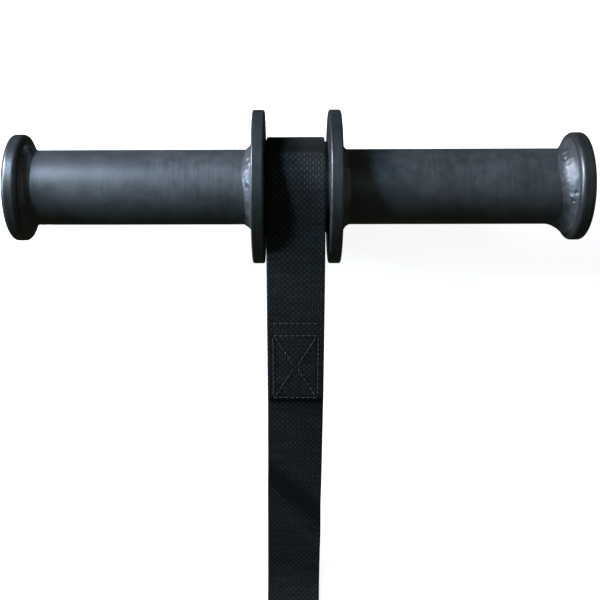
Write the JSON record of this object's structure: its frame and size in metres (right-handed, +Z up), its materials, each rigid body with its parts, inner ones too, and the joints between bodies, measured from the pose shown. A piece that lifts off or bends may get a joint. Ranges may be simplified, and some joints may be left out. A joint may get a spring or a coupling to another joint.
{
  "type": "wrist roller",
  "caption": "Steel wrist roller: a bar with round handles and end discs, a flanged centre spool, a sewn webbing strap and a swivel snap hook.",
  "frame": {"origin": "on the resting surface, under the middle of the bar, which rests on the rims of its two spool flanges", "axes": "+X along the bar, +Z up, and the strap runs towards -Y"},
  "size_m": [0.378, 0.708, 0.102],
  "materials": {
    "bar_paint": "satin black paint on steel, slightly worn",
    "weld_paint": "black paint over a rough weld bead",
    "webbing": "woven black webbing",
    "thread": "heavy dark sewing thread",
    "tie_elastic": "woven black elastic",
    "hook_zinc": "zinc plated",
    "spring_steel": "bare spring steel"
  },
  "bodies": {
    "strap": {"strap_drum_eye": "webbing", "strap_run": "webbing", "strap_hank": "webbing", "hank_tie": "tie_elastic", "strap_hook_end": "webbing", "drum_eye_stitching": "thread", "hook_eye_stitching": "thread"},
    "roller": {"handle_tube_left": "bar_paint", "handle_tube_right": "bar_paint", "end_disc_left": "bar_paint", "end_disc_right": "bar_paint", "spool_flange_left": "bar_paint", "spool_flange_right": "bar_paint", "spool_drum": "bar_paint", "end_weld_left": "weld_paint", "end_weld_right": "weld_paint", "flange_weld_left": "weld_paint", "flange_weld_right": "weld_paint", "drum_weld_left": "weld_paint", "drum_weld_right": "weld_paint"},
    "swivel": {"swivel_eye": "hook_zinc"},
    "hook": {"hook_body": "hook_zinc", "swivel_pin": "hook_zinc", "gate_spring": "spring_steel"},
    "gate": {"gate": "hook_zinc", "gate_pin": "spring_steel"}
  },
  "joints": [
    {"name": "roller_spin", "type": "hinge", "parent": "strap", "child": "roller", "pos_m": [0, 0, 0.051], "axis": [1, 0, 0], "continuous": true},
    {"name": "hook_lift", "type": "hinge", "parent": "strap", "child": "swivel", "pos_m": [0, -0.55206, 0.0061], "axis": [-1, 0, 0], "range_deg": [0, 150]},
    {"name": "hook_swivel", "type": "hinge", "parent": "swivel", "child": "hook", "pos_m": [0, -0.578, 0.0061], "axis": [0, 1, 0], "continuous": true},
    {"name": "gate_open", "type": "hinge", "parent": "hook", "child": "gate", "pos_m": [-0.015, -0.60896, 0.0061], "axis": [0, 0, 1], "range_deg": [0, 35], "stiffness_Nm_per_rad": 0.1, "springref_deg": -22.92}
  ]
}
